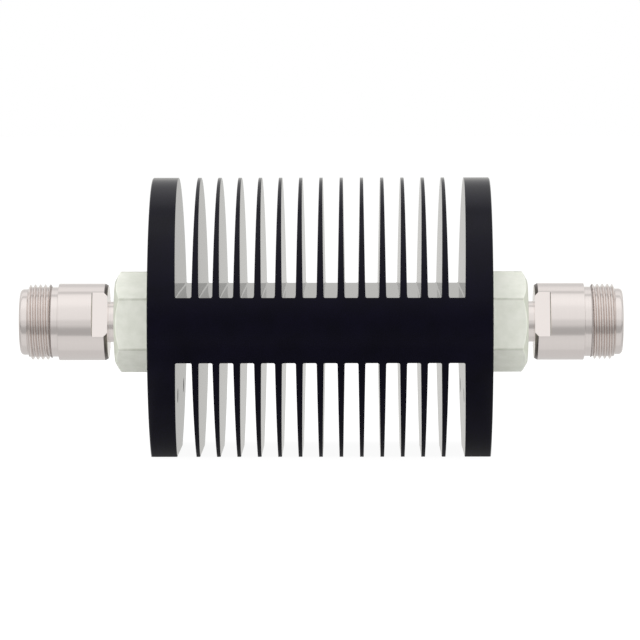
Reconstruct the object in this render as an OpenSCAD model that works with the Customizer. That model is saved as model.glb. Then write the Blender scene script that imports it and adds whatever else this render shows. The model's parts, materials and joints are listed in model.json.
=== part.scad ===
// Coaxial power attenuator: a finned, round heat sink with a jack at each end.
// The coax axis runs along X, Z is up, and the origin is under the middle of the base flat.

/* [Heat sink] */
// Diameter of the round heat sink
sink_d = 60.5; // [57:0.5:68]
// Length of the heat sink along the coax axis
sink_length = 70.4; // [56:0.1:90]
// Height of the coax axis above the base flat
axis_height = 27.25; // [24:0.05:28]
// Thickness of the solid slab between the upper and lower fins
slab_t = 13.3; // [12.6:0.1:18]
// Thickness of each end flange, where it meets the slab
flange_t = 5.75; // [4.5:0.05:8]
// Thickness of a fin, where it meets the slab
fin_root_t = 1.45; // [1.2:0.05:2]
// Distance from one fin to the next
fin_pitch = 4.235; // [3.8:0.005:6]
// Draft of each fin face
fin_draft = 0.95; // [0:0.05:1.1]
// Radius in the corners at the bottom of each slot
slot_corner_r = 0.3; // [0.1:0.05:0.5]
// Chamfer round both end faces
sink_chamfer = 0.2; // [0.1:0.1:1]

/* [Mounting holes] */
// Diameter of the holes through each end flange
mount_hole_d = 3; // [2:0.1:4]
// Distance between the two holes of a flange
mount_hole_spacing = 28.6; // [20:0.1:32]
// Drop of the holes below the coax axis
mount_hole_drop = 14.4; // [12:0.1:16]

/* [Hex bushings] */
// Width of the hexagon across its flats
hex_af = 18.4; // [17:0.1:22]
// Length of the hexagon
hex_length = 8; // [7:0.1:12]
// Diameter of the flat ring inside the end chamfer
hex_face_d = 17.2; // [15:0.1:17.6]
// Slope of the end chamfer
hex_chamfer_angle = 30; // [15:1:40]
// Diameter of the spigot that enters the heat sink
bushing_spigot_d = 10; // [9.6:0.1:10.6]
// Length of the spigot that enters the heat sink
bushing_spigot_length = 12; // [8:0.5:16]

/* [Jack shells] */
// Major diameter of the coupling thread
thread_d = 15.8; // [15.7:0.01:15.88]
// Length of the coupling thread
thread_length = 5.1; // [4.5:0.1:7]
// Diameter of the plain nose in front of the thread
nose_d = 13.8; // [13:0.1:14.4]
// Length of the plain nose
nose_length = 1.6; // [1.2:0.1:2.5]
// Chamfer on the front edge of the nose
nose_chamfer = 0.8; // [0.3:0.1:1]
// Diameter of the relief behind the thread
relief_d = 14.6; // [13.5:0.1:15]
// Length of the relief behind the thread
relief_length = 1.4; // [1:0.1:3]
// Diameter of the plain barrel
barrel_d = 16.1; // [15.9:0.1:18]
// Length of the plain barrel
barrel_length = 10.4; // [9:0.1:14]
// Length of the chamfer on the rear edge of the barrel
barrel_chamfer = 0.7; // [0.2:0.1:0.8]
// Slope of that chamfer against the coax axis
barrel_chamfer_angle = 30; // [15:1:45]
// Width across the two wrench flats
wrench_af = 13; // [12:0.1:14]
// Length of the wrench flats
wrench_length = 3.3; // [2:0.1:5]
// Turn of the wrench flats about the coax axis
wrench_turn = 17; // [0:1:90]
// Diameter of the neck that enters the hex bushing
neck_d = 8.5; // [8:0.1:9]
// Gap between the barrel and the hexagon, where the neck shows
neck_gap = 1.4; // [0.5:0.1:3]
// Depth to which the neck enters the hex bushing
neck_depth = 6.7; // [4:0.1:6.8]

/* [Coax line] */
// Bore that takes the outer contact of a mating plug
mouth_d = 8.1; // [8:0.01:8.2]
// Depth from the jack's front face to its reference plane
mouth_depth = 9.1; // [8.6:0.1:9.6]
// Widest diameter of the lead-in at the front face
lead_in_d = 10; // [9:0.1:10.6]
// Bore behind the reference plane, filled by the insulator
bead_d = 7; // [6.6:0.1:7.4]
// Length of the wide part of the insulator
bead_length = 7; // [5:0.1:8]
// Bore of the neck and of the bushing's spigot
line_d = 5; // [4.4:0.1:5.4]
// Outer diameter of the centre contact's socket
contact_d = 3.04; // [2.9:0.02:3.2]
// Bore of the centre contact's socket
socket_d = 1.7; // [1.65:0.01:1.8]
// Depth of the centre contact's bore
socket_depth = 4.6; // [3.5:0.1:4.8]
// Width of the slots between the contact's fingers
finger_slot = 0.2; // [0.1:0.05:0.3]
// Recess of the contact's tip behind the jack's front face
contact_recess = 4.4; // [4.1:0.1:4.8]
// Diameter of the contact's shank inside the wide part of the insulator
shank_d = 2.1; // [1.9:0.1:2.4]
// Diameter of the contact's tail
tail_d = 1.5; // [1.2:0.1:1.6]

/* [Attenuator cartridge] */
// Diameter of the bore that holds the cartridge
cartridge_d = 8; // [7.6:0.1:8.4]
// Width of the channel in the carrier
channel_w = 5.2; // [4.6:0.1:5.4]
// Height of the channel under its cover
channel_h = 4; // [3.6:0.1:4.2]
// Thickness of the ceramic chip
chip_t = 1; // [0.6:0.1:1.2]
// Clearance between the chip's end and the insulating sleeves
chip_end_gap = 4; // [3:0.5:8]
// Thickness of the tabs that join the tails to the chip
tab_t = 0.2; // [0.1:0.05:0.4]
// Width of those tabs
tab_w = 1.4; // [1:0.1:2]
// Overlap of a tab on the chip and on the tail
tab_lap = 2; // [1:0.1:3]

/* [Fits] */
// Radial clearance of pieces that seat in a bore
seat_gap = 0.02; // [0.01:0.01:0.05]

/* [Hidden] */
$fn = 96;

black_anodised = [0.03, 0.03, 0.04];
chromated = [0.83, 0.84, 0.79];
stainless = [0.78, 0.75, 0.73];
ptfe = [0.93, 0.93, 0.9];
gold = [0.85, 0.68, 0.3];
copper = [0.76, 0.5, 0.36];
ceramic = [0.9, 0.9, 0.88];

// Stations along the coax axis, counted from the middle of the part
sink_end = sink_length / 2;
spigot_end = sink_end - bushing_spigot_length;
hex_end = sink_end + hex_length;
barrel_start = hex_end + neck_gap;
barrel_end = barrel_start + barrel_length;
thread_start = barrel_end + relief_length;
thread_end = thread_start + thread_length;
jack_end = thread_end + nose_length;
neck_end = hex_end - neck_depth;
reference_plane = jack_end - mouth_depth;
bead_start = reference_plane - bead_length;
contact_tip = jack_end - contact_recess;
contact_seat = reference_plane;
chip_end = spigot_end - chip_end_gap;
tail_end = chip_end - tab_lap;

// Fins: as many as fit with at least one slot's width beside each flange
slot_root_w = fin_pitch - fin_root_t;
span_w = sink_length - 2 * flange_t;
fin_count = floor((span_w - fin_root_t - 2 * slot_root_w) / fin_pitch) + 1;
end_slot_w = (span_w - (fin_count - 1) * fin_pitch - fin_root_t) / 2;
first_fin = -(fin_count - 1) / 2 * fin_pitch;
slot_count = fin_count + 1;
slot_reach = sink_d;

// Cartridge: the tails' undersides rest on the tabs, and the tabs on the chip
tab_top = -tail_d / 2;
chip_top = tab_top - tab_t;
channel_floor = chip_top - chip_t;
cover_seat = channel_floor + channel_h;
carrier_r = cartridge_d / 2 - seat_gap;

function slot_centre(i) =
  i == 0 ? first_fin - fin_root_t / 2 - end_slot_w / 2
  : i == slot_count - 1 ? -slot_centre(0)
  : first_fin + (i - 0.5) * fin_pitch;

function slot_w(i) = i == 0 || i == slot_count - 1 ? end_slot_w : slot_root_w;

// Places its children on the coax axis, with their Z along +X for side 1 and along -X for side -1
module on_axis(side = 1) {
  translate([0, 0, axis_height])
    rotate([0, side * 90, 0])
      children();
}

// A turned piece: the profile's points are [radius, station along the axis]
module turned(points, side = 1) {
  on_axis(side)
    rotate_extrude()
      polygon(points);
}

module rod(d, from, to, side = 1) {
  on_axis(side)
    translate([0, 0, from])
      cylinder(d = d, h = to - from);
}

// Section of one slot from the slab outwards: X is along the part, Y away from the slab
module slot_section(w) {
  reach_w = w + 2 * slot_reach * tan(fin_draft);
  corner_x = w / 2 - slot_corner_r * (1 - tan(fin_draft));
  union() {
    polygon([
      [-w / 2, slot_corner_r], [w / 2, slot_corner_r],
      [reach_w / 2, slot_reach], [-reach_w / 2, slot_reach]
    ]);
    translate([-corner_x, 0])
      square([2 * corner_x, 2 * slot_corner_r]);
    for (s = [-1, 1])
      translate([s * corner_x, slot_corner_r])
        circle(r = slot_corner_r, $fn = 32);
  }
}

module slots() {
  for (up = [1, -1], i = [0:slot_count - 1])
    translate([slot_centre(i), 0, axis_height + up * slab_t / 2])
      rotate([up * 90, 0, 0])
        linear_extrude(height = 2 * slot_reach, center = true)
          slot_section(slot_w(i));
}

module mounting_holes() {
  for (end = [1, -1], y = [-1, 1])
    translate([0, y * mount_hole_spacing / 2, axis_height - mount_hole_drop])
      rotate([0, end * 90, 0])
        translate([0, 0, sink_end - flange_t - slot_root_w / 2])
          cylinder(d = mount_hole_d, h = flange_t + slot_root_w);
}

module heat_sink() {
  r = sink_d / 2;
  color(black_anodised)
    difference() {
      intersection() {
        turned([
          [0, -sink_end], [r - sink_chamfer, -sink_end], [r, -sink_end + sink_chamfer],
          [r, sink_end - sink_chamfer], [r - sink_chamfer, sink_end], [0, sink_end]
        ]);
        translate([-sink_length, -sink_d, 0])
          cube([2 * sink_length, 2 * sink_d, 2 * sink_d]);
      }
      slots();
      rod(cartridge_d, -sink_length, sink_length);
      for (side = [1, -1])
        rod(bushing_spigot_d + 2 * seat_gap, spigot_end, sink_length, side);
      mounting_holes();
    }
}

// Turned from hexagonal bar: spigot, body and stepped bore in one outline, whose cone cuts the corners back
module hex_bushing(side) {
  corner_r = hex_af / 2 / cos(30);
  blank_r = 1.1 * corner_r;
  chamfer_depth = (blank_r - hex_face_d / 2) * tan(hex_chamfer_angle);
  spigot_r = bushing_spigot_d / 2;
  line_r = line_d / 2;
  neck_bore_r = neck_d / 2 + seat_gap;
  color(chromated)
    intersection() {
      on_axis(side)
        translate([0, 0, spigot_end - hex_length])
          cylinder(r = corner_r, h = bushing_spigot_length + 3 * hex_length, $fn = 6);
      turned([
        [line_r, spigot_end], [spigot_r, spigot_end], [spigot_r, sink_end], [blank_r, sink_end],
        [blank_r, hex_end - chamfer_depth], [hex_face_d / 2, hex_end], [neck_bore_r, hex_end],
        [neck_bore_r, neck_end], [line_r, neck_end]
      ], side);
    }
}

module jack_shell(side) {
  barrel_r = barrel_d / 2;
  thread_r = thread_d / 2;
  relief_r = relief_d / 2;
  nose_r = nose_d / 2;
  thread_lead = thread_r - nose_r;
  chamfer_r = barrel_r - barrel_chamfer * tan(barrel_chamfer_angle);
  lead_in_depth = (lead_in_d - mouth_d) / 2;
  color(stainless)
    difference() {
      turned([
        [line_d / 2, neck_end], [neck_d / 2, neck_end], [neck_d / 2, barrel_start],
        [chamfer_r, barrel_start], [barrel_r, barrel_start + barrel_chamfer],
        [barrel_r, barrel_end], [relief_r, barrel_end], [relief_r, thread_start],
        [thread_r, thread_start], [thread_r, thread_end - thread_lead / 2], [nose_r, thread_end],
        [nose_r, jack_end - nose_chamfer], [nose_r - nose_chamfer, jack_end],
        [lead_in_d / 2, jack_end], [mouth_d / 2, jack_end - lead_in_depth], [mouth_d / 2, reference_plane],
        [bead_d / 2, reference_plane], [bead_d / 2, bead_start], [line_d / 2, bead_start]
      ], side);
      for (face = [0, 180])
        on_axis(side)
          rotate([0, 0, face - side * wrench_turn])
            translate([-barrel_d, wrench_af / 2, barrel_start - neck_gap / 2])
              cube([2 * barrel_d, barrel_d, wrench_length + neck_gap / 2]);
    }
}

module insulator(side) {
  wide_r = bead_d / 2 - seat_gap;
  narrow_r = line_d / 2 - seat_gap;
  shank_r = shank_d / 2 + seat_gap;
  tail_r = tail_d / 2 + seat_gap;
  color(ptfe)
    turned([
      [tail_r, neck_end], [narrow_r, neck_end], [narrow_r, bead_start], [wide_r, bead_start],
      [wide_r, contact_seat], [shank_r, contact_seat], [shank_r, bead_start], [tail_r, bead_start]
    ], side);
}

module contact(side) {
  color(gold)
    difference() {
      union() {
        rod(contact_d, contact_seat, contact_tip, side);
        rod(shank_d, bead_start, contact_seat, side);
        rod(tail_d, tail_end, bead_start, side);
      }
      rod(socket_d, contact_tip - socket_depth, contact_tip + socket_depth, side);
      for (turn = [45, 135])
        on_axis(side)
          rotate([0, 0, turn])
            translate([-contact_d, -finger_slot / 2, contact_tip - socket_depth + contact_d / 4])
              cube([2 * contact_d, finger_slot, socket_depth]);
    }
}

module line_sleeve(side) {
  color(ptfe)
    turned([
      [tail_d / 2 + seat_gap, spigot_end], [line_d / 2 - seat_gap, spigot_end],
      [line_d / 2 - seat_gap, neck_end], [tail_d / 2 + seat_gap, neck_end]
    ], side);
}

// A bar along the cartridge with a rectangular section, from one height above the coax axis to another
module bar(w, from, to, low, high) {
  translate([from, -w / 2, axis_height + low])
    cube([to - from, w, high - low]);
}

module chip_carrier() {
  color(copper)
    difference() {
      rod(2 * carrier_r, -spigot_end, spigot_end);
      bar(channel_w, -sink_length, sink_length, channel_floor, cartridge_d);
      bar(2 * cartridge_d, -sink_length, sink_length, cover_seat, cartridge_d);
    }
}

module carrier_cover() {
  color(copper)
    intersection() {
      rod(2 * carrier_r, -spigot_end, spigot_end);
      bar(2 * cartridge_d, -sink_length, sink_length, cover_seat, cartridge_d);
    }
}

module attenuator_chip() {
  color(ceramic)
    bar(channel_w - 2 * seat_gap, -chip_end, chip_end, channel_floor, chip_top);
}

module tab(side) {
  from = side * tail_end;
  to = side * (chip_end + tab_lap);
  color(gold)
    bar(tab_w, min(from, to), max(from, to), chip_top, tab_top);
}

heat_sink();
hex_bushing(-1);  // input_hex_bushing
hex_bushing(1);  // output_hex_bushing
jack_shell(-1);  // input_jack_shell
jack_shell(1);  // output_jack_shell
insulator(-1);  // input_insulator
insulator(1);  // output_insulator
contact(-1);  // input_contact
contact(1);  // output_contact
line_sleeve(-1);  // input_line_sleeve
line_sleeve(1);  // output_line_sleeve
chip_carrier();
carrier_cover();
attenuator_chip();
tab(-1);  // input_tab
tab(1);  // output_tab
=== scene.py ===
"""Coaxial power attenuator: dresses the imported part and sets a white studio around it."""

import json
import math
from functools import partial

import bmesh
import bpy
from mathutils import Matrix, Quaternion, Vector


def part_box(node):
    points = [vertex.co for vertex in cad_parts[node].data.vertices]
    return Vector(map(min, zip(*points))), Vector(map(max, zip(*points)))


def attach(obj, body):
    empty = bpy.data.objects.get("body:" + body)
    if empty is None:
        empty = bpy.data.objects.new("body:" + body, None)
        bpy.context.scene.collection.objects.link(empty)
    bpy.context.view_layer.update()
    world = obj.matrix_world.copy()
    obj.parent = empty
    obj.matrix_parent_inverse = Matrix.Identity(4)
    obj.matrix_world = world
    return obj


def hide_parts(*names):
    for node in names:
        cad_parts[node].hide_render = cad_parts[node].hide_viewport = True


bl_info = {
    "name": "Coaxial Attenuator",
    "version": (1, 0, 0),
    "blender": (4, 5, 0),
    "location": "View3D > Sidebar > Attenuator",
    "description": "Models the finned heat sink, bushings and jacks of a coaxial attenuator, and lights them",
    "category": "Object",
}

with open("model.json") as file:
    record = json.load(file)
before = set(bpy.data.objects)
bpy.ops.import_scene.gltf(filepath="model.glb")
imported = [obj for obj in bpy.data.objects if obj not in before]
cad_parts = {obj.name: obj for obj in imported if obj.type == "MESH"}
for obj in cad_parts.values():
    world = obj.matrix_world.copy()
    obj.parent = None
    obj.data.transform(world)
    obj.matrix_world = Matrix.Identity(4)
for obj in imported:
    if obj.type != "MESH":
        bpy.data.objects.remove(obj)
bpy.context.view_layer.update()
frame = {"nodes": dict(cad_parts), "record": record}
MM = 0.001

# Stations along the coax axis and sizes that the frame already holds, in metres
MOUNTS = {mount["name"]: mount for mount in frame["record"]["mounts"]}
AXIS_Z = MOUNTS["output_thread"]["pos_m"][2]
AXIS_POINT = (0.0, 0.0, AXIS_Z)
THREAD_R = MOUNTS["output_thread"]["dims"]["r_mm"] * MM
SOCKET_R = MOUNTS["output_socket"]["dims"]["r_mm"] * MM
SOCKET_DEPTH = MOUNTS["output_socket"]["dims"]["length_mm"] * MM
SCREW_HOLES = [mount for mount in MOUNTS.values() if mount["kind"] == "threaded_hole"]


def stations(node):
    """Where a node starts and ends along the coax axis."""
    return [float(corner[0]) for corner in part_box(node)]


SINK_END = stations("heat_sink")[1]
SPIGOT_END, HEX_END = stations("output_hex_bushing")
NECK_END, JACK_END = stations("output_jack_shell")
TAIL_END, CONTACT_TIP = stations("output_contact")
REFERENCE_PLANE = stations("output_insulator")[1]
SIDES = {"input": -1, "output": 1}

# Segments round each kind of turned or drilled form, and in a rounded corner
SINK_STEPS = 288
TURNED_STEPS = 160
CONTACT_STEPS = 96
BUSHING_STEPS = 72
HOLE_STEPS = 64
CORNER_STEPS = 8

# Distances within which vertices count as one: as drawn, and after cutting
TINY = 1e-7
SLIVER = 4e-6

# Turn in degrees past which an edge is shaded sharp, on milled and on turned pieces
MILLED_EDGE = 20.0
TURNED_EDGE = 24.0

# Length of a cutter against what it cuts, and of a blank or a mask against what it encloses
CUTTER_REACH = 1.2
BLANK_REACH = 1.1

# A unified thread: slope of its flanks in degrees, and width of its gap at the crests in pitches
FLANK_SLOPE = 30.0
CREST_GAP = 7 / 8


def number(name, description, default, **options):
    """A setting with one number."""
    return bpy.props.FloatProperty(name=name, description=description, default=default, **options)


# A size or a place in metres, a level of light where 1 is white, and the power of a lamp
length = partial(number, min=0.0, unit="LENGTH", precision=5)
coordinate = partial(number, unit="LENGTH", precision=5)
brightness = partial(number, min=0.0)
watts = partial(number, min=0.0, unit="POWER")


def angle(name, description, degrees):
    """An angle, kept in radians."""
    return number(name, description, math.radians(degrees), subtype="ANGLE")


def tint(name, description, default):
    """A linear colour."""
    return bpy.props.FloatVectorProperty(
        name=name, description=description, default=default, min=0.0, max=1.0, subtype="COLOR")


class HeatSinkSettings(bpy.types.PropertyGroup):
    """Sizes of the milled heat sink."""

    diameter: length("Diameter", "Diameter of the round bar", 60.5 * MM)
    slab: length("Slab", "Thickness of the solid slab between the fins", 13.3 * MM)
    flange: length("Flange", "Thickness of an end flange where it meets the slab", 5.75 * MM)
    fin_root: length("Fin root", "Thickness of a fin where it meets the slab", 1.45 * MM)
    fin_pitch: length("Fin pitch", "Distance from one fin to the next", 4.235 * MM)
    fin_draft: angle("Fin draft", "Draft of each fin face", 0.95)
    slot_corner: length("Slot corner", "Radius in the corners at the bottom of a slot", 0.3 * MM)
    rim_chamfer: length("Rim chamfer", "Chamfer round both end faces", 0.2 * MM)
    cartridge_bore: length("Cartridge bore", "Diameter of the bore through the middle", 8 * MM)
    spigot_bore: length("Spigot bore", "Diameter of the bores that take the bushings", 10.04 * MM)
    edge_round: length("Edge round", "Rounding of the milled edges", 0.04 * MM)


class BushingSettings(bpy.types.PropertyGroup):
    """Sizes of the two hex bushings."""

    across_flats: length("Across flats", "Width of the hexagon across its flats", 18.4 * MM)
    face: length("Face", "Diameter of the flat ring inside the end chamfer", 17.2 * MM)
    chamfer: angle("Chamfer", "Slope of the end chamfer", 30)
    spigot: length("Spigot", "Diameter of the spigot in the heat sink", 10 * MM)
    neck_bore: length("Neck bore", "Diameter of the bore that takes the jack's neck", 8.54 * MM)
    line_bore: length("Line bore", "Diameter of the bore round the insulating sleeve", 5 * MM)
    edge_round: length("Edge round", "Rounding of the tumbled edges", 0.2 * MM)


class JackSettings(bpy.types.PropertyGroup):
    """Sizes of the two jacks."""

    neck: length("Neck", "Diameter of the neck behind the barrel", 8.5 * MM)
    neck_gap: length("Neck gap", "Length of the neck that shows", 1.4 * MM)
    barrel: length("Barrel", "Diameter of the plain barrel", 16.1 * MM)
    barrel_length: length("Barrel length", "Length of the plain barrel", 10.4 * MM)
    barrel_chamfer: length("Barrel chamfer", "Length of the chamfer on the barrel's rear edge", 0.7 * MM)
    chamfer_slope: angle("Chamfer slope", "Slope of that chamfer against the coax axis", 30)
    wrench_flats: length("Wrench flats", "Width across the two wrench flats", 13 * MM)
    wrench_length: length("Wrench length", "Length of the wrench flats", 3.3 * MM)
    wrench_corner: length("Wrench corner", "Radius that the cutter leaves at the end of a flat", 0.2 * MM)
    wrench_turn: angle("Wrench turn", "Turn of the wrench flats about the coax axis", 17)
    relief: length("Relief", "Diameter of the relief behind the thread", 14.6 * MM)
    relief_length: length("Relief length", "Length of the relief", 1.4 * MM)
    thread_length: length("Thread length", "Length of the coupling thread", 5.1 * MM)
    thread_pitch: length("Thread pitch", "Distance from one crest to the next", 1.058 * MM)
    run_out: length("Run-out", "Length of the cone where the thread meets the relief", 0.34 * MM)
    root_clearance: length("Root clearance", "Height of the thread's roots above the relief", 0.03 * MM)
    nose: length("Nose", "Diameter of the plain nose", 13.8 * MM)
    nose_round: length("Nose round", "Rounding of the nose's front edge", 0.8 * MM)
    mouth: length("Mouth", "Bore that takes a plug's outer contact", 8.1 * MM)
    lead_in: length("Lead-in", "Widest diameter of the lead-in at the front", 10 * MM)
    bead: length("Bead", "Diameter of the insulator's wide part", 7 * MM)
    bead_length: length("Bead length", "Length of the insulator's wide part", 7 * MM)
    line_bore: length("Line bore", "Bore of the neck", 5 * MM)
    contact: length("Contact", "Outer diameter of the contact's socket", 3.04 * MM)
    shank: length("Shank", "Diameter of the contact's shank", 2.1 * MM)
    tail: length("Tail", "Diameter of the contact's tail", 1.5 * MM)
    finger_slot: length("Finger slot", "Width of the slots between the contact's fingers", 0.2 * MM)
    edge_round: length("Edge round", "Rounding of the turned edges", 0.12 * MM)


class FinishSettings(bpy.types.PropertyGroup):
    """Base colours of the finishes."""

    anodised: tint("Black anodising", "Dyed black of the heat sink", (0.0012, 0.0009, 0.004))
    chromate: tint("Chromate", "Pale green grey of the bushings", (0.7, 0.71, 0.645))
    stainless: tint("Stainless", "Warm grey of the jack shells", (0.9, 0.834, 0.803))
    ptfe: tint("PTFE", "White of the insulators", (0.84, 0.84, 0.81))
    gold: tint("Gold", "Plating of the contacts and tabs", (0.9, 0.65, 0.26))
    copper: tint("Copper", "Cartridge of the attenuator chip", (0.78, 0.42, 0.28))
    ceramic: tint("Ceramic", "Body of the attenuator chip", (0.8, 0.8, 0.77))


class StageSettings(bpy.types.PropertyGroup):
    """The camera's place and the light's level."""

    distance: length("Distance", "Distance from the camera to the coax axis", 862.7 * MM)
    elevation: angle("Elevation", "Height of the camera above the coax axis", 3.52)
    azimuth: angle("Azimuth", "Turn of the camera towards the output", 0.47)
    roll: angle("Roll", "Turn of the camera about its line of sight", 0.1)
    lens: number("Lens", "Focal length on a 36 mm sensor", 231.05, unit="CAMERA")
    aim_x: coordinate("Aim along", "Point on the coax axis that the camera looks at", -0.27 * MM)
    aim_z: coordinate("Aim above", "Height of that point above the coax axis", 0.35 * MM)
    ambient: brightness("Ambient", "Level of the light from all round on matte surfaces", 0.55)
    overhead: watts("Overhead", "Power of the overhead soft box", 4.6)
    front: watts("Front", "Power of each soft box beside the camera", 2.9)
    # The grey card is painted shadow: a glowing sheet in front of the part that only reflections show.
    shadow_card_start: length("Card start", "Distance from the coax axis to the near edge of the grey card", 9 * MM)
    shadow_card_reach: length("Card reach", "Length of the grey card towards the camera", 110 * MM)
    shadow_card_level: brightness("Card level", "Level of the grey card in front, which the part mirrors", 0.3)


# Modelling helpers

def everything(bm):
    """All vertices, edges and faces of a bmesh."""
    return bm.verts[:] + bm.edges[:] + bm.faces[:]


def round_off(bm, geom, radius, affect, segments=CORNER_STEPS):
    """Rounds vertices of a flat outline, or edges of a block, to a radius."""
    bmesh.ops.bevel(
        bm, geom=geom, offset=radius, offset_type="OFFSET", segments=segments, profile=0.5,
        affect=affect, material=-1)


def turn_on_axis(bm, turn):
    """Turns a whole bmesh about the coax axis by an angle in radians."""
    bmesh.ops.rotate(bm, verts=bm.verts[:], cent=AXIS_POINT, matrix=Matrix.Rotation(turn, 3, "X"))


def outline_mesh(points):
    """A closed wire of (station, radius) or (station, radius, rounding) points above the coax axis."""
    bm = bmesh.new()
    corners = [bm.verts.new((point[0], 0.0, AXIS_Z + point[1])) for point in points]
    bm.faces.new(corners)
    for corner, point in zip(corners, points):
        if len(point) == 3:
            round_off(bm, [corner], point[2], "VERTICES")
    bmesh.ops.delete(bm, geom=bm.faces[:], context="FACES_ONLY")
    return bm


def turned(points, steps=TURNED_STEPS):
    """A turned piece: its closed outline, spun all the way round the coax axis."""
    bm = outline_mesh(points)
    bmesh.ops.spin(
        bm, geom=everything(bm), cent=AXIS_POINT, axis=(1.0, 0.0, 0.0), angle=2 * math.pi, steps=steps,
        use_merge=True, use_duplicate=False)
    bmesh.ops.remove_doubles(bm, verts=bm.verts[:], dist=TINY)
    bmesh.ops.recalc_face_normals(bm, faces=bm.faces[:])
    return bm


def on_side(points, side):
    """The outline of an output-side piece, put on the given side."""
    return [(side * point[0],) + tuple(point[1:]) for point in points]


def link_mesh(name, bm):
    """Makes an object of a bmesh and frees it."""
    mesh = bpy.data.meshes.new(name)
    bm.to_mesh(mesh)
    bm.free()
    piece = bpy.data.objects.new(name, mesh)
    bpy.context.scene.collection.objects.link(piece)
    return piece


def bake_modifiers(piece):
    """Replaces the piece's mesh by what its modifiers make of it."""
    depsgraph = bpy.context.evaluated_depsgraph_get()
    baked = bpy.data.meshes.new_from_object(piece.evaluated_get(depsgraph))
    plain = piece.data
    piece.modifiers.clear()
    piece.data = baked
    bpy.data.meshes.remove(plain)


def carve(piece, tool, operation="DIFFERENCE"):
    """Cuts the piece with a tool's mesh, and deletes the tool."""
    modifier = piece.modifiers.new("carve", "BOOLEAN")
    modifier.operation = operation
    modifier.solver = "EXACT"
    modifier.object = tool
    bake_modifiers(piece)
    bpy.data.objects.remove(tool)


def merge_slivers(piece):
    """Merges what lies closer than a few micrometres after cutting, and drops corners of two edges alone."""
    bm = bmesh.new()
    bm.from_mesh(piece.data)
    bmesh.ops.remove_doubles(bm, verts=bm.verts[:], dist=SLIVER)
    bmesh.ops.dissolve_degenerate(bm, edges=bm.edges[:], dist=SLIVER)
    between = [vert for vert in bm.verts if len(vert.link_edges) == 2]
    bmesh.ops.dissolve_verts(bm, verts=between)
    bm.to_mesh(piece.data)
    bm.free()


def shade_smooth(piece, sharp_angle):
    """Shades the piece smooth, except across edges that turn by more than an angle in degrees."""
    piece.data.shade_smooth()
    piece.data.set_sharp_from_angle(angle=math.radians(sharp_angle))


def round_edges(piece, width, over_angle=30.0, segments=2):
    """Rounds the edges that turn by more than an angle; flats stay flat."""
    modifier = piece.modifiers.new("round", "BEVEL")
    modifier.width = width
    modifier.segments = segments
    modifier.limit_method = "ANGLE"
    modifier.angle_limit = math.radians(over_angle)
    modifier.use_clamp_overlap = False
    modifier.harden_normals = True
    bake_modifiers(piece)


def dress(piece, node, material):
    """Gives a finished piece its finish and lets it stand for its node."""
    piece.data.materials.clear()
    piece.data.materials.append(material)
    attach(piece, "root")
    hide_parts(node)


def paint_node(node, material):
    """Gives a node that keeps its own mesh a finish."""
    mesh = frame["nodes"][node].data
    mesh.materials.clear()
    mesh.materials.append(material)


# Shader helpers

def feed(socket, value):
    """Links an input to an output socket, or sets it to a constant."""
    if isinstance(value, bpy.types.NodeSocket):
        socket.id_data.links.new(value, socket)
    else:
        socket.default_value = value


def set_inputs(node, **inputs):
    """Feeds a node's inputs by name, with underscores for spaces."""
    for name, value in inputs.items():
        feed(node.inputs[name.replace("_", " ")], value)
    return node


def add_node(tree, kind, **inputs):
    """Adds a node and feeds its inputs by name."""
    return set_inputs(tree.nodes.new(kind), **inputs)


def math_node(tree, operation, *values):
    """A Math node of numbers or sockets."""
    node = tree.nodes.new("ShaderNodeMath")
    node.operation = operation
    for socket, value in zip(node.inputs, values):
        feed(socket, value)
    return node.outputs[0]


def product(tree, *masks):
    """Multiplies masks or numbers, in their order."""
    result = masks[0]
    for mask in masks[1:]:
        result = math_node(tree, "MULTIPLY", result, mask)
    return result


def new_group(name, inputs, outputs):
    """An empty shader group with float or vector sockets."""
    group = bpy.data.node_groups.new(name, "ShaderNodeTree")
    for socket, kind in inputs:
        group.interface.new_socket(socket, in_out="INPUT", socket_type=kind)
    for socket, kind in outputs:
        group.interface.new_socket(socket, in_out="OUTPUT", socket_type=kind)
    return group, group.nodes.new("NodeGroupInput"), group.nodes.new("NodeGroupOutput")


def grain_group():
    """Cloudy mottling with a fine grain in it, as on blasted, dyed or chromated metal."""
    found = bpy.data.node_groups.get("Blasted grain")
    if found:
        return found
    group, entry, result = new_group(
        "Blasted grain",
        [("Vector", "NodeSocketVector"), ("Cloud scale", "NodeSocketFloat"),
         ("Grain scale", "NodeSocketFloat")],
        [("Cloud", "NodeSocketFloat"), ("Grain", "NodeSocketFloat")])
    for name, detail in (("Cloud", 4.0), ("Grain", 2.0)):
        noise = add_node(
            group, "ShaderNodeTexNoise", Vector=entry.outputs["Vector"], Scale=entry.outputs[name + " scale"],
            Detail=detail, Roughness=0.6)
        feed(result.inputs[name], noise.outputs["Fac"])
    return group


def rings_group():
    """Tool marks of a lathe: rings round the X axis, on barrels and end faces alike."""
    found = bpy.data.node_groups.get("Turning rings")
    if found:
        return found
    group, entry, result = new_group(
        "Turning rings",
        [("Vector", "NodeSocketVector"), ("Density", "NodeSocketFloat")],
        [("Rings", "NodeSocketFloat")])
    x, y, z = split_coordinates(group, entry.outputs["Vector"])
    travel = math_node(group, "ADD", x, axis_distance(group, y, z))
    noise = add_node(group, "ShaderNodeTexNoise", Scale=1.0, Detail=3.0, Roughness=0.65)
    noise.noise_dimensions = "1D"
    set_inputs(noise, W=product(group, travel, entry.outputs["Density"]))
    set_inputs(result, Rings=noise.outputs["Fac"])
    return group


def new_material(name, **sockets):
    """A node material whose Principled shader has the given constant inputs."""
    material = bpy.data.materials.new(name)
    material.use_nodes = True
    tree = material.node_tree
    shader = set_inputs(tree.nodes["Principled BSDF"], **sockets)
    return material, tree, shader


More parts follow.
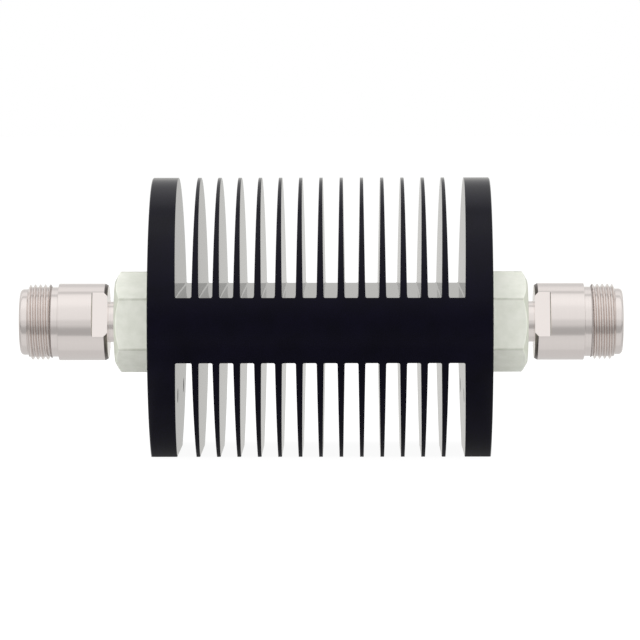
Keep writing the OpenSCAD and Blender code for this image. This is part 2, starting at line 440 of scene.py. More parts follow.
def centred_coordinates(tree):
    """Object coordinates with the coax axis as their X axis."""
    place = tree.nodes.new("ShaderNodeTexCoord")
    mapping = add_node(
        tree, "ShaderNodeMapping", Vector=place.outputs["Object"], Location=(0.0, 0.0, -AXIS_Z))
    return mapping.outputs["Vector"]


def split_coordinates(tree, vector):
    """The X, Y and Z of a vector."""
    return add_node(tree, "ShaderNodeSeparateXYZ", Vector=vector).outputs


def use_group(tree, group, vector, **values):
    """Places a group in a material with its own values."""
    node = tree.nodes.new("ShaderNodeGroup")
    node.node_tree = group
    return set_inputs(node, Vector=vector, **values)


def spread(tree, value, low=0.0, high=1.0, start=0.3, stop=0.7):
    """Maps a value between start and stop, which suit a noise, to one between low and high."""
    node = add_node(
        tree, "ShaderNodeMapRange", Value=value, From_Min=start, From_Max=stop, To_Min=low, To_Max=high)
    return node.outputs["Result"]


def level_ramp(tree, value, stops):
    """Maps a value between 0 and 1 through stops of (position, level), where a level is grey or a colour."""
    ramp = tree.nodes.new("ShaderNodeValToRGB")
    elements = ramp.color_ramp.elements
    while len(elements) < len(stops):
        elements.new(1.0)
    for element, (position, level) in zip(elements, stops):
        element.position = position
        element.color = tuple(level) + (1.0,) if isinstance(level, tuple) else (level, level, level, 1.0)
    feed(ramp.inputs["Fac"], value)
    return ramp.outputs["Color"]


def axis_distance(tree, y, z):
    """Distance from the coax axis, of the Y and Z of centred coordinates."""
    squares = [math_node(tree, "MULTIPLY", offset, offset) for offset in (y, z)]
    return math_node(tree, "SQRT", math_node(tree, "ADD", *squares))


def shaded(colour, factor):
    """The colour, lighter or darker by a factor."""
    return tuple(min(1.0, channel * factor) for channel in colour) + (1.0,)


def tinted(colour, factors):
    """The colour with a factor for each of its channels."""
    return tuple(channel * factor for channel, factor in zip(colour, factors)) + (1.0,)


def blend_colours(tree, factor, low, high):
    """A colour between two colours or sockets, by a factor socket."""
    mix = tree.nodes.new("ShaderNodeMix")
    mix.data_type = "RGBA"
    feed(mix.inputs["A"], low)
    feed(mix.inputs["B"], high)
    feed(mix.inputs["Factor"], factor)
    return mix.outputs["Result"]


def mottled(tree, noise, colour, dark, light):
    """The colour, which a noise varies between two factors."""
    return blend_colours(tree, spread(tree, noise), shaded(colour, dark), shaded(colour, light))


def bump(tree, shader, height, depth, strength=1.0):
    """Lets a height between 0 and 1 shape the shader's normal, over a depth in metres."""
    node = add_node(tree, "ShaderNodeBump", Strength=strength, Distance=depth, Height=height)
    set_inputs(shader, Normal=node.outputs["Normal"])


# Gloss of the anodised skin, from a face seen straight on, at 0, to one seen edge on, at 1
SKIN_GLOSS = (
    (0.0, 0.06), (0.013, 0.1), (0.067, 0.15), (0.17, 0.175), (0.22, 0.205), (0.86, 0.21), (0.955, 0.015))
HOLE_MARGIN = 0.03 * MM


def off_screw_holes(tree, place):
    """A mask of 0 in the flanges' tapped holes and 1 elsewhere."""
    x, y, z = split_coordinates(tree, place)
    hole = SCREW_HOLES[0]
    radius = hole["dims"]["r_mm"] * MM + HOLE_MARGIN
    flange_start = SINK_END - BLANK_REACH * hole["dims"]["length_mm"] * MM
    across = math_node(tree, "SUBTRACT", math_node(tree, "ABSOLUTE", y), abs(hole["pos_m"][1]))
    above = math_node(tree, "SUBTRACT", z, hole["pos_m"][2] - AXIS_Z)
    squares = [math_node(tree, "POWER", offset, 2.0) for offset in (across, above)]
    off_hole = math_node(tree, "GREATER_THAN", math_node(tree, "ADD", *squares), radius ** 2)
    off_flange = math_node(tree, "LESS_THAN", math_node(tree, "ABSOLUTE", x), flange_start)
    return math_node(tree, "MAXIMUM", off_hole, off_flange)


def anodised_finish(colour):
    """Black anodised aluminium: a dark, faintly cloudy dye under a satin skin that shines at a slant.

    The tapped holes stay dull, because their threads break up the shine.
    """
    material, tree, shader = new_material("black_anodised", Metallic=0.0, Specular_IOR_Level=0.15)
    place = centred_coordinates(tree)
    grain = use_group(tree, grain_group(), place, Cloud_scale=160.0, Grain_scale=5200.0)
    dye = mottled(tree, grain.outputs["Cloud"], colour, dark=0.75, light=1.3)
    slant = add_node(tree, "ShaderNodeLayerWeight", Blend=0.5).outputs["Facing"]
    rough = spread(tree, slant, low=0.22, high=0.07, stop=0.9)
    gloss = level_ramp(tree, slant, SKIN_GLOSS)
    gloss = product(tree, gloss, off_screw_holes(tree, place))
    set_inputs(shader, Base_Color=dye, Roughness=rough, Specular_IOR_Level=gloss)
    return material


def hexagon_corner(sizes):
    """Distance of the hexagon's corners from the coax axis."""
    return sizes.across_flats / 2 / math.cos(math.pi / 6)


# Where the bushings' painted shade on the cone and their darker corners fade in: heights about the turned
# cone, and depths below the hexagon's corners
CONE_FADE = (-0.15 * MM, -0.05 * MM)
CORNER_FADE = (0.22 * MM, 0.06 * MM)

# Factors on the chromate's colour in its clouds, for the painted shade on the turned cone, and along the
# darker corners
CLOUD_TINT = (0.94, 0.95, 0.925)
CONE_SHADE_TINT = (0.73, 0.745, 0.705)
CORNER_TINT = (0.5, 0.51, 0.45)


def chromate_finish(colour, sizes):
    """Chromated aluminium: matte and mottled, with painted shade on the turned chamfer and darker along the
    corners.
    """
    material, tree, shader = new_material("chromated", Metallic=0.0, Specular_IOR_Level=0.35)
    place = centred_coordinates(tree)
    x, y, z = split_coordinates(tree, place)
    radius = axis_distance(tree, y, z)
    cloud, grain = use_group(tree, grain_group(), place, Cloud_scale=420.0, Grain_scale=3600.0).outputs
    skin = blend_colours(tree, spread(tree, cloud), tinted(colour, CLOUD_TINT), shaded(colour, 1.06))
    # Painted shade on the turned chamfer: its colour is darkened.
    behind_face = math_node(tree, "SUBTRACT", HEX_END, math_node(tree, "ABSOLUTE", x))
    cone = math_node(tree, "MULTIPLY_ADD", behind_face, 1 / math.tan(sizes.chamfer), sizes.face / 2)
    on_cone = spread(tree, math_node(tree, "SUBTRACT", radius, cone), 0.0, 1.0, *CONE_FADE)
    skin = blend_colours(tree, on_cone, skin, tinted(colour, CONE_SHADE_TINT))
    # Darker along the hexagon's corners, more so where the cloud noise is low.
    fade_start, fade_stop = (hexagon_corner(sizes) - depth for depth in CORNER_FADE)
    ridge = spread(tree, radius, high=0.7, start=fade_start, stop=fade_stop)
    corner_darkening = product(tree, ridge, spread(tree, cloud, low=1.0, high=0.5))
    skin = blend_colours(tree, corner_darkening, skin, tinted(colour, CORNER_TINT))
    set_inputs(shader, Base_Color=skin, Roughness=spread(tree, grain, low=0.45, high=0.6))
    bump(tree, shader, grain, depth=1.2e-5, strength=0.3)
    return material


def turned_metal_finish(name, colour, roughness, density, depth):
    """Turned metal: bright, with the lathe's rings in its roughness, tone and normal."""
    material, tree, shader = new_material(name, Metallic=1.0)
    rings = use_group(tree, rings_group(), centred_coordinates(tree), Density=density).outputs["Rings"]
    metal = mottled(tree, rings, colour, dark=0.95, light=1.03)
    rough = spread(tree, rings, low=0.8 * roughness, high=1.25 * roughness)
    set_inputs(shader, Base_Color=metal, Roughness=rough)
    bump(tree, shader, rings, depth, strength=0.3)
    return material


def barrel_station(sizes):
    """Where a jack's plain barrel starts."""
    return HEX_END + sizes.neck_gap


def thread_station(sizes):
    """Where a jack's coupling thread starts, past the barrel and the relief."""
    return barrel_station(sizes) + sizes.barrel_length + sizes.relief_length


# Painted shade and highlight on the jack shells: colours and shares of the painted shade in the thread
# roots and on the rear chamfer, the depths below the crests over which the root shade fades out,
# factors on the steel's colour for the painted shade at the run-out and the painted highlight on the
# wrench flats, the least roughness of what is dull, and the tolerances that find the flats and the rear
# chamfer
ROOT_SHADE, ROOT_SHADE_SHARE = (0.3, 0.28, 0.265, 1.0), 0.2
ROOT_SHADE_FADE = (0.5 * MM, 0.1 * MM)
CHAMFER_SHADE, CHAMFER_SHADE_SHARE = (0.1, 0.08, 0.07, 1.0), 0.75
RUN_OUT_SHADE, FLAT_HIGHLIGHT = 0.78, 1.08
CHAMFER_ROUGHNESS, RUN_OUT_ROUGHNESS = 0.4, 0.6
FLAT_TOLERANCE = 0.02 * MM
CONE_TOLERANCE = 0.05 * MM


def shell_finish(colour, sizes):
    """Turned stainless: painted shade in the thread roots, a dull run-out and rear chamfer that also get
    painted shade, and a painted highlight on the milled flats.
    """
    material = turned_metal_finish("stainless", colour, roughness=0.13, density=9000.0, depth=2e-6)
    tree = material.node_tree
    shader = tree.nodes["Principled BSDF"]
    x, y, z = split_coordinates(tree, centred_coordinates(tree))
    radius = axis_distance(tree, y, z)
    station = math_node(tree, "ABSOLUTE", x)
    barrel_start = barrel_station(sizes)
    thread_start = thread_station(sizes)

    past_start = math_node(tree, "GREATER_THAN", station, thread_start)
    before_end = math_node(tree, "LESS_THAN", station, thread_start + sizes.thread_length)
    outside = math_node(tree, "GREATER_THAN", radius, sizes.nose / 2)
    on_thread = product(tree, past_start, before_end, outside)
    # Painted shade in the thread roots: the colour darkens toward the roots.
    fade_start, fade_stop = (THREAD_R - depth for depth in ROOT_SHADE_FADE)
    root_shade = product(tree, on_thread, spread(tree, radius, ROOT_SHADE_SHARE, 0.0, fade_start, fade_stop))
    # Painted shade at the run-out: a darker colour, with a real rise in roughness.
    in_run_out = math_node(tree, "LESS_THAN", station, thread_start + sizes.run_out)
    run_out = product(tree, on_thread, in_run_out)

    # Painted highlight: the milled wrench flats are coloured brighter.
    up = math_node(tree, "MULTIPLY", z, -math.sin(sizes.wrench_turn))
    out = math_node(tree, "MULTIPLY_ADD", y, math.cos(sizes.wrench_turn), up)
    height = math_node(tree, "ABSOLUTE", out)
    in_plane = math_node(tree, "COMPARE", height, sizes.wrench_flats / 2, FLAT_TOLERANCE)
    at_flats = math_node(tree, "LESS_THAN", station, barrel_start + sizes.wrench_length)
    at_barrel = math_node(tree, "GREATER_THAN", station, barrel_start - FLAT_TOLERANCE)
    flat_highlight = product(tree, in_plane, at_flats, at_barrel)

    # Painted shade on the rear chamfer: a dark film mixed into its colour, with a real rise in roughness.
    behind_edge = math_node(tree, "SUBTRACT", barrel_start + sizes.barrel_chamfer, station)
    cone = math_node(tree, "MULTIPLY_ADD", behind_edge, -math.tan(sizes.chamfer_slope), sizes.barrel / 2)
    on_cone = math_node(
        tree, "GREATER_THAN", math_node(tree, "SUBTRACT", radius, cone), -CONE_TOLERANCE)
    dull_shaded_chamfer = product(tree, on_cone, math_node(tree, "GREATER_THAN", behind_edge, 0.0))

    metal = shader.inputs["Base Color"].links[0].from_socket
    for mask, film in (
            (root_shade, ROOT_SHADE), (run_out, shaded(colour, RUN_OUT_SHADE)), (flat_highlight, shaded(colour, FLAT_HIGHLIGHT)),
            (product(tree, dull_shaded_chamfer, CHAMFER_SHADE_SHARE), CHAMFER_SHADE)):
        metal = blend_colours(tree, mask, metal, film)
    rough = shader.inputs["Roughness"].links[0].from_socket
    for mask, least in ((dull_shaded_chamfer, CHAMFER_ROUGHNESS), (run_out, RUN_OUT_ROUGHNESS)):
        rough = math_node(tree, "MAXIMUM", rough, product(tree, mask, least))
    set_inputs(shader, Base_Color=metal, Roughness=rough)
    return material


def ptfe_finish(colour):
    """Turned PTFE: white, waxy, with faint rings."""
    material, tree, shader = new_material("ptfe", Metallic=0.0, Specular_IOR_Level=0.35)
    rings = use_group(tree, rings_group(), centred_coordinates(tree), Density=6000.0).outputs["Rings"]
    white = mottled(tree, rings, colour, dark=0.96, light=1.02)
    set_inputs(shader, Base_Color=white, Roughness=spread(tree, rings, low=0.35, high=0.5))
    bump(tree, shader, rings, depth=4e-6, strength=0.2)
    return material


def ceramic_finish(colour):
    """Fired ceramic: pale, with a fine speckle."""
    material, tree, shader = new_material("chip_ceramic", Metallic=0.0)
    place = centred_coordinates(tree)
    cloud, grain = use_group(tree, grain_group(), place, Cloud_scale=500.0, Grain_scale=6000.0).outputs
    speckle = blend_colours(tree, grain, shaded(colour, 0.92), shaded(colour, 1.04))
    set_inputs(shader, Base_Color=speckle, Roughness=spread(tree, cloud, low=0.5, high=0.65))
    bump(tree, shader, grain, depth=3e-6, strength=0.3)
    return material


# Heat sink

def heat_sink_bar(sizes):
    """The turned bar with its bores, cut along the base flat."""
    rim = sizes.diameter / 2
    chamfer = sizes.rim_chamfer
    half = [
        (SINK_END - chamfer, rim), (SINK_END, rim - chamfer), (SINK_END, sizes.spigot_bore / 2),
        (SPIGOT_END, sizes.spigot_bore / 2), (SPIGOT_END, sizes.cartridge_bore / 2)]
    bm = turned(half + on_side(reversed(half), -1), SINK_STEPS)
    bmesh.ops.bisect_plane(
        bm, geom=everything(bm), dist=TINY, plane_co=(0.0, 0.0, 0.0), plane_no=(0.0, 0.0, -1.0),
        clear_outer=True)
    bmesh.ops.contextual_create(bm, geom=[edge for edge in bm.edges if edge.is_boundary])
    bmesh.ops.recalc_face_normals(bm, faces=bm.faces[:])
    return bm


def slot_places(sizes):
    """Centre and root width of each slot along the heat sink."""
    span = 2 * (SINK_END - sizes.flange)
    slot = sizes.fin_pitch - sizes.fin_root
    fins = math.floor((span - sizes.fin_root - 2 * slot) / sizes.fin_pitch) + 1
    end_slot = (span - (fins - 1) * sizes.fin_pitch - sizes.fin_root) / 2
    inner = [((index - fins / 2) * sizes.fin_pitch, slot) for index in range(1, fins)]
    outer = SINK_END - sizes.flange - end_slot / 2
    return [(-outer, end_slot)] + inner + [(outer, end_slot)]


def add_slot(bm, sizes, centre, width, up):
    """One drafted slot cutter across the bar, above the slab for up = 1 or below it for up = -1."""
    root_z = AXIS_Z + up * sizes.slab / 2
    reach = sizes.diameter / 2
    flare = reach * math.tan(sizes.fin_draft)
    section = [(-width / 2, 0.0), (width / 2, 0.0), (width / 2 + flare, reach), (-width / 2 - flare, reach)]
    corners = [bm.verts.new((centre + x, -sizes.diameter, root_z + up * z)) for x, z in section]
    bm.faces.new(corners)
    round_off(bm, corners[:2], sizes.slot_corner, "VERTICES")
    face = next(face for face in corners[2].link_faces)
    extruded = bmesh.ops.extrude_face_region(bm, geom=[face])
    moved = [item for item in extruded["geom"] if isinstance(item, bmesh.types.BMVert)]
    bmesh.ops.translate(bm, verts=moved, vec=(0.0, 2 * sizes.diameter, 0.0))


def screw_hole_cutters():
    """Pins that drill the screw holes through the end flanges."""
    bm = bmesh.new()
    for hole in SCREW_HOLES:
        radius = hole["dims"]["r_mm"] * MM
        depth = CUTTER_REACH * hole["dims"]["length_mm"] * MM
        place = Matrix.Translation(hole["pos_m"]) @ Matrix.Rotation(math.pi / 2, 4, "Y")
        bmesh.ops.create_cone(
            bm, cap_ends=True, cap_tris=False, segments=HOLE_STEPS, radius1=radius, radius2=radius,
            depth=depth, matrix=place)
    return bm


class ATTENUATOR_OT_heat_sink(bpy.types.Operator):
    """Mill the finned heat sink out of a turned bar"""

    bl_idname = "attenuator.heat_sink"
    bl_label = "Heat Sink"

    def execute(self, context):
        sizes = context.scene.attenuator_heat_sink
        finish = anodised_finish(context.scene.attenuator_finish.anodised)
        sink = link_mesh("milled_heat_sink", heat_sink_bar(sizes))
        cutters = bmesh.new()
        for centre, width in slot_places(sizes):
            for up in (1, -1):
                add_slot(cutters, sizes, centre, width, up)
        bmesh.ops.recalc_face_normals(cutters, faces=cutters.faces[:])
        carve(sink, link_mesh("slot_cutters", cutters))
        carve(sink, link_mesh("screw_hole_cutters", screw_hole_cutters()))
        shade_smooth(sink, MILLED_EDGE)
        round_edges(sink, sizes.edge_round)
        dress(sink, "heat_sink", finish)
        return {"FINISHED"}


# Hex bushings

def bushing_blank(sizes, side):
    """The turned blank of a bushing: spigot, body with its end chamfer, and stepped bore.

    It is turned by half a step, so that each corner of the hexagon falls between two of its lines.
    """
    over = BLANK_REACH * hexagon_corner(sizes)
    chamfer = (over - sizes.face / 2) * math.tan(sizes.chamfer)
    bm = turned(on_side([
        (SPIGOT_END, sizes.line_bore / 2), (SPIGOT_END, sizes.spigot / 2), (SINK_END, sizes.spigot / 2),
        (SINK_END, over), (HEX_END - chamfer, over), (HEX_END, sizes.face / 2),
        (HEX_END, sizes.neck_bore / 2), (NECK_END, sizes.neck_bore / 2), (NECK_END, sizes.line_bore / 2)],
        side), BUSHING_STEPS)
    turn_on_axis(bm, math.pi / BUSHING_STEPS)
    return bm


def hexagon_bar(sizes, side):
    """A hexagonal bar round the whole bushing, with a corner on top."""
    bm = bmesh.new()
    corner = hexagon_corner(sizes)
    centre = (SPIGOT_END + HEX_END) / 2
    place = Matrix.Translation((side * centre, 0.0, AXIS_Z)) @ Matrix.Rotation(math.pi / 2, 4, "Y")
    bmesh.ops.create_cone(
        bm, cap_ends=True, cap_tris=False, segments=6, radius1=corner, radius2=corner,
        depth=CUTTER_REACH * (HEX_END - SPIGOT_END), matrix=place @ Matrix.Rotation(math.pi / 2, 4, "Z"))
    return bm


class ATTENUATOR_OT_hex_bushings(bpy.types.Operator):
    """Make the two hex bushings from turned blanks and hexagonal bar"""

    bl_idname = "attenuator.hex_bushings"
    bl_label = "Hex Bushings"

    def execute(self, context):
        sizes = context.scene.attenuator_bushing
        finish = chromate_finish(context.scene.attenuator_finish.chromate, sizes)
        for name, side in SIDES.items():
            bushing = link_mesh(name + "_chamfered_bushing", bushing_blank(sizes, side))
            carve(bushing, link_mesh("hexagon_bar", hexagon_bar(sizes, side)), "INTERSECT")
            shade_smooth(bushing, MILLED_EDGE)
            round_edges(bushing, sizes.edge_round, over_angle=MILLED_EDGE, segments=3)
            dress(bushing, name + "_hex_bushing", finish)
        return {"FINISHED"}


# Jacks

def shell_mesh(sizes, side):
    """A jack shell before its thread and flats are cut: turned body and stepped bore."""
    barrel_start = barrel_station(sizes)
    barrel_end = barrel_start + sizes.barrel_length
    thread_start = thread_station(sizes)
    thread_end = thread_start + sizes.thread_length
    bead_start = REFERENCE_PLANE - sizes.bead_length
    soft = sizes.edge_round
    barrel = sizes.barrel / 2
    chamfer_drop = sizes.barrel_chamfer * math.tan(sizes.chamfer_slope)
    lead_in_depth = (sizes.lead_in - sizes.mouth) / 2
    thread_lead = (THREAD_R - sizes.nose / 2) / 2
    return turned(on_side([
        (NECK_END, sizes.line_bore / 2), (NECK_END, sizes.neck / 2), (barrel_start, sizes.neck / 2),
        (barrel_start, barrel - chamfer_drop, soft), (barrel_start + sizes.barrel_chamfer, barrel, soft),
        (barrel_end, barrel, soft), (barrel_end, sizes.relief / 2, soft), (thread_start, sizes.relief / 2),
        (thread_start + sizes.run_out, THREAD_R), (thread_end - thread_lead, THREAD_R),
        (thread_end, sizes.nose / 2), (JACK_END, sizes.nose / 2, sizes.nose_round),
        (JACK_END, sizes.lead_in / 2, soft), (JACK_END - lead_in_depth, sizes.mouth / 2),
        (REFERENCE_PLANE, sizes.mouth / 2), (REFERENCE_PLANE, sizes.bead / 2), (bead_start, sizes.bead / 2),
        (bead_start, sizes.line_bore / 2)], side))


def thread_cutter(sizes, side):
    """A helical tool as wide as the gap between two crests, long enough to run out at both ends.

    It starts half a step round, so that its lines fall between those of the turned shell.
    """
    pitch = sizes.thread_pitch
    turns = math.ceil(sizes.thread_length / pitch) + 2
    middle = side * (thread_station(sizes) + sizes.thread_length / 2)
    first = middle - turns * pitch / 2
    root = sizes.relief / 2 + sizes.root_clearance
    proud = THREAD_R + sizes.root_clearance
    flank = math.tan(math.radians(FLANK_SLOPE))
    half_gap = pitch * CREST_GAP / 2
    half_root = half_gap - (THREAD_R - root) * flank
    half_proud = half_gap + (proud - THREAD_R) * flank
    section = [(-half_root, root), (half_root, root), (half_proud, proud), (-half_proud, proud)]
    bm = bmesh.new()
    bm.faces.new([bm.verts.new((first + x, 0.0, AXIS_Z + radius)) for x, radius in section])
    turn_on_axis(bm, math.pi / TURNED_STEPS)
    bmesh.ops.spin(
        bm, geom=everything(bm), cent=AXIS_POINT, axis=(1.0, 0.0, 0.0), dvec=(pitch / TURNED_STEPS, 0.0, 0.0),
        angle=turns * 2 * math.pi, steps=turns * TURNED_STEPS, use_merge=False, use_duplicate=False)
    bmesh.ops.recalc_face_normals(bm, faces=bm.faces[:])
    return bm


def wrench_cutters(sizes, side):
    """Two blocks that mill the wrench flats, each with the cutter's radius where a flat ends."""
    bm = bmesh.new()
    block = sizes.barrel
    step = barrel_station(sizes) + sizes.wrench_length
    run = sizes.wrench_length + sizes.neck_gap / 2
    out = (sizes.wrench_flats + block) / 2
    for across in (1, -1):
        place = Matrix.Translation((side * (step - run / 2), across * out, AXIS_Z))
        bmesh.ops.create_cube(bm, size=1.0, matrix=place @ Matrix.Diagonal((run, block, 2 * block, 1.0)))
    feet = [edge for edge in bm.edges if all(
        abs(vert.co.x - side * step) < TINY and abs(abs(vert.co.y) - sizes.wrench_flats / 2) < TINY
        for vert in edge.verts)]
    round_off(bm, feet, sizes.wrench_corner, "EDGES", CORNER_STEPS // 2)
    turn_on_axis(bm, -sizes.wrench_turn)
    return bm


class ATTENUATOR_OT_jack_shells(bpy.types.Operator):
    """Turn the two jack shells, cut their threads and mill their wrench flats"""

    bl_idname = "attenuator.jack_shells"
    bl_label = "Jack Shells"

    def execute(self, context):
        sizes = context.scene.attenuator_jack
        finish = shell_finish(context.scene.attenuator_finish.stainless, sizes)
        for name, side in SIDES.items():
            shell = link_mesh(name + "_turned_shell", shell_mesh(sizes, side))
            carve(shell, link_mesh("thread_cutter", thread_cutter(sizes, side)))
            carve(shell, link_mesh("wrench_cutters", wrench_cutters(sizes, side)))
            merge_slivers(shell)
            shade_smooth(shell, TURNED_EDGE)
            dress(shell, name + "_jack_shell", finish)
        return {"FINISHED"}


def contact_mesh(sizes, side):
    """A centre contact: socket, shank and tail, turned in one piece."""
    bead_start = REFERENCE_PLANE - sizes.bead_length
    socket_end = CONTACT_TIP - SOCKET_DEPTH
    soft = sizes.edge_round
    return turned(on_side([
        (TAIL_END, 0.0), (TAIL_END, sizes.tail / 2), (bead_start, sizes.tail / 2),
        (bead_start, sizes.shank / 2), (REFERENCE_PLANE, sizes.shank / 2),
        (REFERENCE_PLANE, sizes.contact / 2, soft), (CONTACT_TIP, sizes.contact / 2, 2 * soft),
        (CONTACT_TIP, SOCKET_R, 2 * soft), (socket_end, SOCKET_R), (socket_end, 0.0)], side), CONTACT_STEPS)


def finger_cutters(sizes, side):
    """Two crossed blades that slot the contact's socket."""
    bm = bmesh.new()
    run = SOCKET_DEPTH
    middle = CONTACT_TIP - run + sizes.contact / 4 + run / 2
    for turn in (math.pi / 4, -math.pi / 4):
        place = Matrix.Translation((side * middle, 0.0, AXIS_Z)) @ Matrix.Rotation(turn, 4, "X")
        bmesh.ops.create_cube(
            bm, size=1.0, matrix=place @ Matrix.Diagonal((run, 2 * sizes.contact, sizes.finger_slot, 1.0)))
    return bm


class ATTENUATOR_OT_jack_inserts(bpy.types.Operator):
    """Turn the centre contacts, and finish the insulators"""

    bl_idname = "attenuator.jack_inserts"
    bl_label = "Jack Inserts"

    def execute(self, context):
        sizes = context.scene.attenuator_jack
        colours = context.scene.attenuator_finish
        gold = turned_metal_finish("gold_plate", colours.gold, roughness=0.2, density=12000.0, depth=2e-6)
        ptfe = ptfe_finish(colours.ptfe)
        for name, side in SIDES.items():
            contact = link_mesh(name + "_slotted_contact", contact_mesh(sizes, side))
            carve(contact, link_mesh("finger_cutters", finger_cutters(sizes, side)))
            shade_smooth(contact, TURNED_EDGE)
            dress(contact, name + "_contact", gold)
            paint_node(name + "_tab", gold)
            for piece in ("insulator", "line_sleeve"):
                paint_node(name + "_" + piece, ptfe)
        return {"FINISHED"}


class ATTENUATOR_OT_cartridge(bpy.types.Operator):
    """Finish the copper cartridge and the ceramic chip inside the heat sink"""

    bl_idname = "attenuator.cartridge"
    bl_label = "Cartridge"

    def execute(self, context):
        colours = context.scene.attenuator_finish
        copper = turned_metal_finish("copper", colours.copper, roughness=0.3, density=8000.0, depth=3e-6)
        for node in ("chip_carrier", "carrier_cover"):
            paint_node(node, copper)
        paint_node("attenuator_chip", ceramic_finish(colours.ceramic))
        return {"FINISHED"}


# Stage

BACKDROP = (0.8, 0.793, 0.768)

# Brightness of the studio in reflections, by direction round the coax axis in degrees:
# 0 is level towards the camera, 90 is overhead and 180 is level behind the part
STUDIO_BANDS = (
    (-180, BACKDROP), (-168, BACKDROP), (-155, 0.64), (-95, 0.63), (-88, 0.7), (-60, 0.73), (-41, 0.7),
    (-37, 0.46), (-27, 0.44), (-16, 0.47), (-10, 0.62), (-4, 0.69), (4, 0.7), (13, 0.85), (45, 0.89),
    (58, 0.98), (72, 1.0), (88, 0.96), (94, 0.9), (99, 0.66), (105, 0.66), (111, 0.88), (126, 0.85),
    (140, 0.7), (152, 0.68), (166, BACKDROP), (180, BACKDROP))

# The studio's level at its two sides, and the share along the coax axis over which it falls to that
SIDE_LEVEL = 0.8
SIDE_FADE = (0.55, 0.85)

# The floor's colour and glow, as they light the part and as the camera sees them
FLOOR_COLOURS = (0.8, 0.8, 0.8, 1.0), (0.13, 0.13, 0.13, 1.0)
FLOOR_GLOWS = 0.3, 0.95
WHITE = (1.0, 1.0, 1.0, 1.0)
FLOOR_REACH = 4.0
FLOOR_DROP = 0.05 * MM
SHADOW_CARD_DROP = 0.04 * MM

# Place and width of the soft boxes overhead and, on the output's side, beside the camera
OVERHEAD_PLACE, OVERHEAD_WIDTH = (0.0, 0.05, 0.7), 0.7
FRONT_PLACE, FRONT_WIDTH = (0.42, -0.75, 0.3), 0.4
SENSOR_WIDTH = 36.0
CLIP_END = 20.0


def studio_world(ambient):
    """White for the camera, banded for reflections, and a plain level for matte surfaces."""
    world = bpy.data.worlds.new("studio")
    world.use_nodes = True
    bpy.context.scene.world = world
    tree = world.node_tree
    tree.nodes.clear()
    place = tree.nodes.new("ShaderNodeTexCoord")
    x, y, z = split_coordinates(tree, place.outputs["Generated"])
    towards_camera = math_node(tree, "MULTIPLY", y, -1.0)
    turn = math_node(tree, "ARCTAN2", z, towards_camera)
    share = math_node(tree, "ADD", math_node(tree, "DIVIDE", turn, 2 * math.pi), 0.5)
    bands = level_ramp(tree, share, [(degrees / 360 + 0.5, level) for degrees, level in STUDIO_BANDS])
    aside = math_node(tree, "ABSOLUTE", x)
    fall = spread(tree, aside, 1.0, SIDE_LEVEL, *SIDE_FADE)
    reflected = add_node(tree, "ShaderNodeBackground", Color=bands, Strength=fall)
    rays = tree.nodes.new("ShaderNodeLightPath")
    seen = math_node(tree, "MAXIMUM", rays.outputs["Is Camera Ray"], rays.outputs["Is Transmission Ray"])
    level = spread(tree, seen, low=ambient, high=1.0, start=0.0, stop=1.0)
    plain = add_node(tree, "ShaderNodeBackground", Color=WHITE, Strength=level)
    mix = add_node(tree, "ShaderNodeMixShader", Fac=rays.outputs["Is Glossy Ray"])
    feed(mix.inputs[1], plain.outputs["Background"])
    feed(mix.inputs[2], reflected.outputs["Background"])
    add_node(tree, "ShaderNodeOutputWorld", Surface=mix.outputs["Shader"])


def floor_finish():
    """White floor: the camera sees it glow, with a faint shadow, and it sends light back up."""
    material, tree, shader = new_material("white_floor", Roughness=0.9, Specular_IOR_Level=0.0)
    seen = tree.nodes.new("ShaderNodeLightPath").outputs["Is Camera Ray"]
    set_inputs(shader, Base_Color=blend_colours(tree, seen, *FLOOR_COLOURS))
    level = spread(tree, seen, *FLOOR_GLOWS, start=0.0, stop=1.0)
    glow = add_node(tree, "ShaderNodeEmission", Color=WHITE, Strength=level)
    both = tree.nodes.new("ShaderNodeAddShader")
    feed(both.inputs[0], shader.outputs["BSDF"])
    feed(both.inputs[1], glow.outputs["Emission"])
    set_inputs(tree.nodes["Material Output"], Surface=both.outputs["Shader"])
    return material


def shadow_card_finish(level):
    """Painted shadow in reflections: the even grey glow of a sheet that only reflections show, darker than
    the studio round it.
    """
    material, tree, _shader = new_material("painted_shadow_card")
    glow = add_node(tree, "ShaderNodeEmission", Color=WHITE, Strength=level)
    set_inputs(tree.nodes["Material Output"], Surface=glow.outputs["Emission"])
    return material


def soft_box(name, place, target, size, power):
    """A square area lamp aimed at a point, which reflections don't show."""
    lamp = bpy.data.lights.new(name, "AREA")
    lamp.shape = "SQUARE"
    lamp.size = size
    lamp.energy = power
    holder = bpy.data.objects.new(name, lamp)
    holder.location = place
    holder.rotation_euler = (Vector(target) - Vector(place)).to_track_quat("-Z", "Y").to_euler()
    holder.visible_glossy = False
    bpy.context.scene.collection.objects.link(holder)


def level_sheet(name, half_width, half_depth, centre, material):
    """A flat sheet that lies level."""
    bm = bmesh.new()
    place = Matrix.Translation(centre) @ Matrix.Diagonal((half_width, half_depth, 1.0, 1.0))
    bmesh.ops.create_grid(bm, x_segments=1, y_segments=1, size=1.0, matrix=place)
    sheet = link_mesh(name, bm)
    sheet.data.materials.append(material)
    return sheet


def aimed_camera(settings):
    """A camera in front of the part, a little above it, that looks at the middle."""
    camera = bpy.data.cameras.new("camera")
    camera.sensor_width = SENSOR_WIDTH
    camera.lens = settings.lens
    camera.clip_end = CLIP_END
    holder = bpy.data.objects.new("camera", camera)
    level = settings.distance * math.cos(settings.elevation)
    holder.location = (
        level * math.sin(settings.azimuth), -level * math.cos(settings.azimuth),
        AXIS_Z + settings.distance * math.sin(settings.elevation))
    aim = Vector((settings.aim_x, 0.0, AXIS_Z + settings.aim_z))
    sight = (aim - holder.location).to_track_quat("-Z", "Y")
    holder.rotation_euler = (sight @ Quaternion((0.0, 0.0, 1.0), -settings.roll)).to_euler()
    bpy.context.scene.collection.objects.link(holder)
    return holder


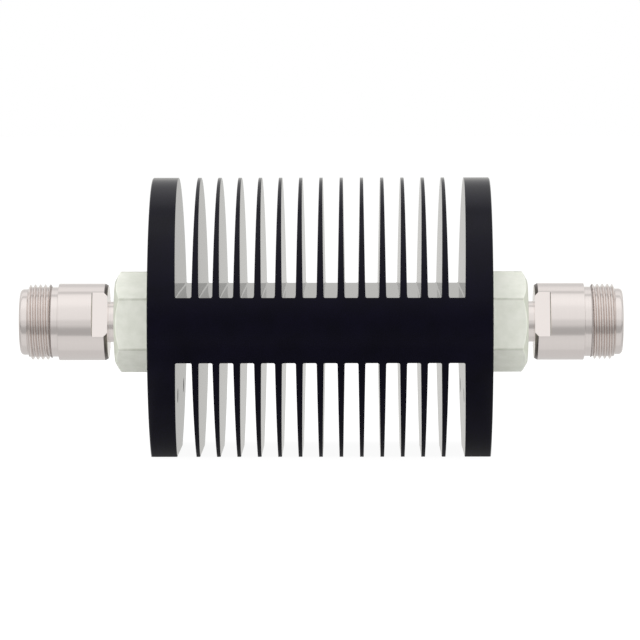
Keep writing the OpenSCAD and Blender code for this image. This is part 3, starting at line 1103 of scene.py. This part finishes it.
class ATTENUATOR_OT_stage(bpy.types.Operator):
    """Set up the floor, the soft light and the camera"""

    bl_idname = "attenuator.stage"
    bl_label = "Stage"

    def execute(self, context):
        settings = context.scene.attenuator_stage
        scene = context.scene
        scene.view_settings.view_transform = "Standard"
        studio_world(settings.ambient)

        floor = level_sheet("floor", FLOOR_REACH, FLOOR_REACH, (0.0, 0.0, -FLOOR_DROP), floor_finish())
        floor.visible_glossy = False

        # Painted shadow in reflections: a glowing grey sheet in front, hidden from the camera, from matte
        # surfaces and from shadows.
        shadow_card_centre = (0.0, -settings.shadow_card_start - settings.shadow_card_reach / 2, -SHADOW_CARD_DROP)
        shadow_card = level_sheet(
            "painted_shadow_card", SINK_END, settings.shadow_card_reach / 2, shadow_card_centre, shadow_card_finish(settings.shadow_card_level))
        shadow_card.visible_camera = False
        shadow_card.visible_diffuse = False
        shadow_card.visible_shadow = False

        soft_box("overhead_box", OVERHEAD_PLACE, AXIS_POINT, OVERHEAD_WIDTH, settings.overhead)
        for name, side in SIDES.items():
            place = (side * FRONT_PLACE[0],) + FRONT_PLACE[1:]
            soft_box(name + "_box", place, AXIS_POINT, FRONT_WIDTH, settings.front)
        scene.camera = aimed_camera(settings)
        return {"FINISHED"}


class ATTENUATOR_PT_panel(bpy.types.Panel):
    """Lists the attenuator's pieces and their settings"""

    bl_label = "Coaxial Attenuator"
    bl_idname = "ATTENUATOR_PT_panel"
    bl_space_type = "VIEW_3D"
    bl_region_type = "UI"
    bl_category = "Attenuator"

    def draw(self, context):
        for group, _settings, operators in SECTIONS:
            box = self.layout.box()
            for operator in operators:
                box.operator(operator.bl_idname)
            settings = getattr(context.scene, group)
            for name in settings.bl_rna.properties.keys():
                if name not in ("rna_type", "name"):
                    box.prop(settings, name)


SECTIONS = (
    ("attenuator_heat_sink", HeatSinkSettings, (ATTENUATOR_OT_heat_sink,)),
    ("attenuator_bushing", BushingSettings, (ATTENUATOR_OT_hex_bushings,)),
    ("attenuator_jack", JackSettings, (ATTENUATOR_OT_jack_shells, ATTENUATOR_OT_jack_inserts)),
    ("attenuator_finish", FinishSettings, (ATTENUATOR_OT_cartridge,)),
    ("attenuator_stage", StageSettings, (ATTENUATOR_OT_stage,)),
)


def register():
    """Registers the settings, the operators and the panel."""
    for group, settings, operators in SECTIONS:
        bpy.utils.register_class(settings)
        setattr(bpy.types.Scene, group, bpy.props.PointerProperty(type=settings))
        for operator in operators:
            bpy.utils.register_class(operator)
    bpy.utils.register_class(ATTENUATOR_PT_panel)


def unregister():
    """Takes them out again."""
    bpy.utils.unregister_class(ATTENUATOR_PT_panel)
    for group, settings, operators in reversed(SECTIONS):
        for operator in reversed(operators):
            bpy.utils.unregister_class(operator)
        delattr(bpy.types.Scene, group)
        bpy.utils.unregister_class(settings)


def main():
    """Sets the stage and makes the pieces."""
    register()
    bpy.ops.attenuator.stage()
    bpy.ops.attenuator.heat_sink()
    bpy.ops.attenuator.hex_bushings()
    bpy.ops.attenuator.jack_shells()
    bpy.ops.attenuator.jack_inserts()
    bpy.ops.attenuator.cartridge()


if __name__ == "__main__":
    main()
